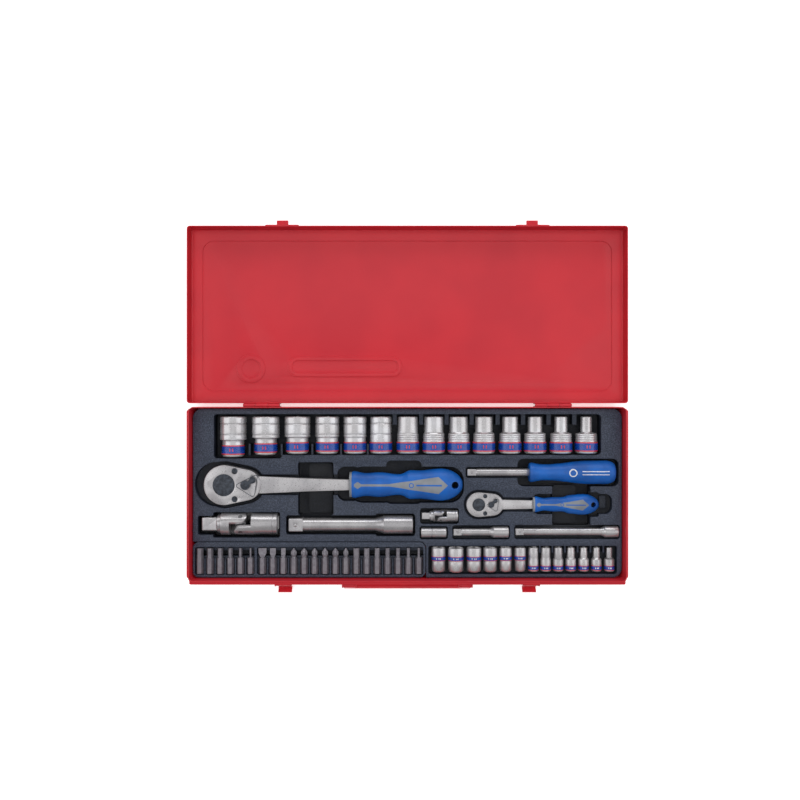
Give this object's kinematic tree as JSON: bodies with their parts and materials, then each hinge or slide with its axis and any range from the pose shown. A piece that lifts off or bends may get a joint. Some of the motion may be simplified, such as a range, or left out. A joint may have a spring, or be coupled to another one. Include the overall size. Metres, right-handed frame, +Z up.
{
  "type": "socket wrench set in case",
  "caption": "Hinged steel case lying open with moulded trays that hold reversible ratchets, a spinner, sockets, extension bars, universal joints, an adapter and screwdriver bits.",
  "frame": {"origin": "centre of the underside of the case base", "axes": "+Z up, +X to the right along the long side, -Y towards the latches, +Y towards the hinges and the open lid"},
  "size_m": [0.424, 0.3634, 0.036],
  "materials": {
    "red_paint": "satin",
    "tray_plastic": "fine grain",
    "polished_chrome": "polished",
    "satin_chrome": "satin",
    "bit_steel": "matt",
    "pin_steel": "zinc plated",
    "blackened_steel": "blackened",
    "grip_blue": "soft matt",
    "grip_grey": "soft matt"
  },
  "bodies": {
    "root": {"case_base": "red_paint", "main_tray": "tray_plastic", "hinge_base_leaves": "red_paint", "hinge_pins": "pin_steel", "latch_brackets": "red_paint", "latch_pins": "pin_steel", "handle_brackets": "red_paint"},
    "lid": {"case_lid": "red_paint", "hinge_lid_leaves": "red_paint", "lid_catches": "red_paint"},
    "latch_left": {"latch_left": "red_paint"},
    "latch_right": {"latch_right": "red_paint"},
    "handle": {"carry_handle": "red_paint"},
    "bit_tray": {"bit_tray": "tray_plastic"},
    "bits_key": {"bits_hexagon_key": "bit_steel"},
    "bits_shaped": {"bits_shaped_tip": "bit_steel"},
    "sockets_quarter_wide": {"sockets_quarter_wide": "satin_chrome"},
    "sockets_quarter_slim": {"sockets_quarter_slim": "satin_chrome"},
    "spinner": {"spinner_shank": "satin_chrome", "spinner_grip": "grip_blue"},
    "extension_half": {"extension_half": "satin_chrome"},
    "extension_quarter_short": {"extension_quarter_short": "satin_chrome"},
    "extension_quarter_long": {"extension_quarter_long": "satin_chrome"},
    "bit_adapter": {"bit_adapter": "satin_chrome"},
    "socket_half_20mm": {"socket_half_20mm": "polished_chrome"},
    "socket_half_19mm": {"socket_half_19mm": "polished_chrome"},
    "socket_half_18mm": {"socket_half_18mm": "polished_chrome"},
    "socket_half_17mm": {"socket_half_17mm": "polished_chrome"},
    "socket_half_16mm": {"socket_half_16mm": "polished_chrome"},
    "socket_half_15mm": {"socket_half_15mm": "polished_chrome"},
    "socket_half_14mm": {"socket_half_14mm": "polished_chrome"},
    "socket_half_13mm": {"socket_half_13mm": "polished_chrome"},
    "socket_half_12mm": {"socket_half_12mm": "polished_chrome"},
    "socket_half_11mm": {"socket_half_11mm": "polished_chrome"},
    "socket_half_10mm": {"socket_half_10mm": "polished_chrome"},
    "socket_half_9mm": {"socket_half_9mm": "polished_chrome"},
    "socket_half_8mm": {"socket_half_8mm": "polished_chrome"},
    "socket_half_7mm": {"socket_half_7mm": "polished_chrome"},
    "ujoint_half": {"ujoint_half_socket_yoke": "satin_chrome"},
    "ujoint_half_cross": {"ujoint_half_cross": "pin_steel"},
    "ujoint_half_drive_yoke": {"ujoint_half_drive_yoke": "satin_chrome"},
    "ujoint_quarter": {"ujoint_quarter_socket_yoke": "satin_chrome"},
    "ujoint_quarter_cross": {"ujoint_quarter_cross": "pin_steel"},
    "ujoint_quarter_drive_yoke": {"ujoint_quarter_drive_yoke": "satin_chrome"},
    "ratchet_half": {"ratchet_half_body": "satin_chrome", "ratchet_half_cover": "satin_chrome", "ratchet_half_cover_screws": "blackened_steel", "ratchet_half_grip": "grip_blue", "ratchet_half_grip_inlay": "grip_grey"},
    "ratchet_half_drive_gear": {"ratchet_half_drive_gear": "blackened_steel"},
    "ratchet_half_pawl": {"ratchet_half_pawl": "pin_steel"},
    "ratchet_half_reversing_lever": {"ratchet_half_reversing_lever": "blackened_steel"},
    "ratchet_quarter": {"ratchet_quarter_body": "satin_chrome", "ratchet_quarter_cover": "satin_chrome", "ratchet_quarter_cover_screws": "blackened_steel", "ratchet_quarter_grip": "grip_blue", "ratchet_quarter_grip_inlay": "grip_grey"},
    "ratchet_quarter_drive_gear": {"ratchet_quarter_drive_gear": "blackened_steel"},
    "ratchet_quarter_pawl": {"ratchet_quarter_pawl": "pin_steel"},
    "ratchet_quarter_reversing_lever": {"ratchet_quarter_reversing_lever": "blackened_steel"}
  },
  "joints": [
    {"name": "lid_hinge", "type": "hinge", "parent": "root", "child": "lid", "pos_m": [0, 0.0854, 0.03215], "axis": [-1, 0, 0], "range_deg": [-180, 0]},
    {"name": "latch_left_pivot", "type": "hinge", "parent": "root", "child": "latch_left", "pos_m": [-0.1205, -0.0883, 0.022], "axis": [1, 0, 0], "range_deg": [-138, 0]},
    {"name": "latch_right_pivot", "type": "hinge", "parent": "root", "child": "latch_right", "pos_m": [0.1205, -0.0883, 0.022], "axis": [1, 0, 0], "range_deg": [-138, 0]},
    {"name": "handle_pivot", "type": "hinge", "parent": "root", "child": "handle", "pos_m": [0, -0.0892, 0.024], "axis": [1, 0, 0], "range_deg": [-80, 0]},
    {"name": "bit_tray_lift", "type": "slide", "parent": "root", "child": "bit_tray", "axis": [0, 0, 1], "range_m": [0, 0.03]},
    {"name": "bits_key_lift", "type": "slide", "parent": "bit_tray", "child": "bits_key", "axis": [0, 0, 1], "range_m": [0, 0.02]},
    {"name": "bits_shaped_lift", "type": "slide", "parent": "bit_tray", "child": "bits_shaped", "axis": [0, 0, 1], "range_m": [0, 0.02]},
    {"name": "sockets_quarter_wide_lift", "type": "slide", "parent": "root", "child": "sockets_quarter_wide", "axis": [0, 0, 1], "range_m": [0, 0.045]},
    {"name": "sockets_quarter_slim_lift", "type": "slide", "parent": "root", "child": "sockets_quarter_slim", "axis": [0, 0, 1], "range_m": [0, 0.045]},
    {"name": "spinner_lift", "type": "slide", "parent": "root", "child": "spinner", "axis": [0, 0, 1], "range_m": [0, 0.045]},
    {"name": "extension_half_lift", "type": "slide", "parent": "root", "child": "extension_half", "axis": [0, 0, 1], "range_m": [0, 0.045]},
    {"name": "extension_quarter_short_lift", "type": "slide", "parent": "root", "child": "extension_quarter_short", "axis": [0, 0, 1], "range_m": [0, 0.045]},
    {"name": "extension_quarter_long_lift", "type": "slide", "parent": "root", "child": "extension_quarter_long", "axis": [0, 0, 1], "range_m": [0, 0.045]},
    {"name": "bit_adapter_lift", "type": "slide", "parent": "root", "child": "bit_adapter", "axis": [0, 0, 1], "range_m": [0, 0.045]},
    {"name": "socket_half_20mm_lift", "type": "slide", "parent": "root", "child": "socket_half_20mm", "axis": [0, 0, 1], "range_m": [0, 0.045]},
    {"name": "socket_half_19mm_lift", "type": "slide", "parent": "root", "child": "socket_half_19mm", "axis": [0, 0, 1], "range_m": [0, 0.045]},
    {"name": "socket_half_18mm_lift", "type": "slide", "parent": "root", "child": "socket_half_18mm", "axis": [0, 0, 1], "range_m": [0, 0.045]},
    {"name": "socket_half_17mm_lift", "type": "slide", "parent": "root", "child": "socket_half_17mm", "axis": [0, 0, 1], "range_m": [0, 0.045]},
    {"name": "socket_half_16mm_lift", "type": "slide", "parent": "root", "child": "socket_half_16mm", "axis": [0, 0, 1], "range_m": [0, 0.045]},
    {"name": "socket_half_15mm_lift", "type": "slide", "parent": "root", "child": "socket_half_15mm", "axis": [0, 0, 1], "range_m": [0, 0.045]},
    {"name": "socket_half_14mm_lift", "type": "slide", "parent": "root", "child": "socket_half_14mm", "axis": [0, 0, 1], "range_m": [0, 0.045]},
    {"name": "socket_half_13mm_lift", "type": "slide", "parent": "root", "child": "socket_half_13mm", "axis": [0, 0, 1], "range_m": [0, 0.045]},
    {"name": "socket_half_12mm_lift", "type": "slide", "parent": "root", "child": "socket_half_12mm", "axis": [0, 0, 1], "range_m": [0, 0.045]},
    {"name": "socket_half_11mm_lift", "type": "slide", "parent": "root", "child": "socket_half_11mm", "axis": [0, 0, 1], "range_m": [0, 0.045]},
    {"name": "socket_half_10mm_lift", "type": "slide", "parent": "root", "child": "socket_half_10mm", "axis": [0, 0, 1], "range_m": [0, 0.045]},
    {"name": "socket_half_9mm_lift", "type": "slide", "parent": "root", "child": "socket_half_9mm", "axis": [0, 0, 1], "range_m": [0, 0.045]},
    {"name": "socket_half_8mm_lift", "type": "slide", "parent": "root", "child": "socket_half_8mm", "axis": [0, 0, 1], "range_m": [0, 0.045]},
    {"name": "socket_half_7mm_lift", "type": "slide", "parent": "root", "child": "socket_half_7mm", "axis": [0, 0, 1], "range_m": [0, 0.045]},
    {"name": "ujoint_half_lift", "type": "slide", "parent": "root", "child": "ujoint_half", "axis": [0, 0, 1], "range_m": [0, 0.045]},
    {"name": "ujoint_half_cross_pivot", "type": "hinge", "parent": "ujoint_half", "child": "ujoint_half_cross", "pos_m": [-0.1614, -0.0298, 0.0193], "axis": [0, 0.7071, -0.7071], "range_deg": [0, 14]},
    {"name": "ujoint_half_yoke_pivot", "type": "hinge", "parent": "ujoint_half_cross", "child": "ujoint_half_drive_yoke", "pos_m": [-0.1614, -0.0298, 0.0193], "axis": [0, 0.7071, 0.7071], "range_deg": [0, 14]},
    {"name": "ujoint_quarter_lift", "type": "slide", "parent": "root", "child": "ujoint_quarter", "axis": [0, 0, 1], "range_m": [0, 0.045]},
    {"name": "ujoint_quarter_cross_pivot", "type": "hinge", "parent": "ujoint_quarter", "child": "ujoint_quarter_cross", "pos_m": [0.0323, -0.0222, 0.0204], "axis": [0, 0.7071, -0.7071], "range_deg": [0, 14]},
    {"name": "ujoint_quarter_yoke_pivot", "type": "hinge", "parent": "ujoint_quarter_cross", "child": "ujoint_quarter_drive_yoke", "pos_m": [0.0323, -0.0222, 0.0204], "axis": [0, 0.7071, 0.7071], "range_deg": [0, 14]},
    {"name": "ratchet_half_lift", "type": "slide", "parent": "root", "child": "ratchet_half", "axis": [0, 0, 1], "range_m": [0, 0.045]},
    {"name": "ratchet_half_drive", "type": "hinge", "parent": "ratchet_half", "child": "ratchet_half_drive_gear", "pos_m": [-0.177, 0.0082, 0.0222], "axis": [0, 0, 1], "continuous": true},
    {"name": "ratchet_half_reverse", "type": "hinge", "parent": "ratchet_half", "child": "ratchet_half_reversing_lever", "pos_m": [-0.1563, 0.0082, 0.0222], "axis": [0, 0, 1], "range_deg": [-68, 0]},
    {"name": "ratchet_half_pawl_rock", "type": "hinge", "parent": "ratchet_half", "child": "ratchet_half_pawl", "pos_m": [-0.1563, 0.0082, 0.0222], "axis": [0, 0, 1], "range_deg": [-5, 0]},
    {"name": "ratchet_quarter_lift", "type": "slide", "parent": "root", "child": "ratchet_quarter", "axis": [0, 0, 1], "range_m": [0, 0.045]},
    {"name": "ratchet_quarter_drive", "type": "hinge", "parent": "ratchet_quarter", "child": "ratchet_quarter_drive_gear", "pos_m": [0.069, -0.011, 0.022], "axis": [0, 0, 1], "continuous": true},
    {"name": "ratchet_quarter_reverse", "type": "hinge", "parent": "ratchet_quarter", "child": "ratchet_quarter_reversing_lever", "pos_m": [0.0812, -0.011, 0.022], "axis": [0, 0, 1], "range_deg": [-84, 0]},
    {"name": "ratchet_quarter_pawl_rock", "type": "hinge", "parent": "ratchet_quarter", "child": "ratchet_quarter_pawl", "pos_m": [0.0812, -0.011, 0.022], "axis": [0, 0, 1], "range_deg": [-5, 0]}
  ],
  "couplings": [
    {"joint": "ujoint_half_yoke_pivot", "follows": "ujoint_half_cross_pivot", "ratio": 1},
    {"joint": "ujoint_quarter_yoke_pivot", "follows": "ujoint_quarter_cross_pivot", "ratio": 1}
  ]
}
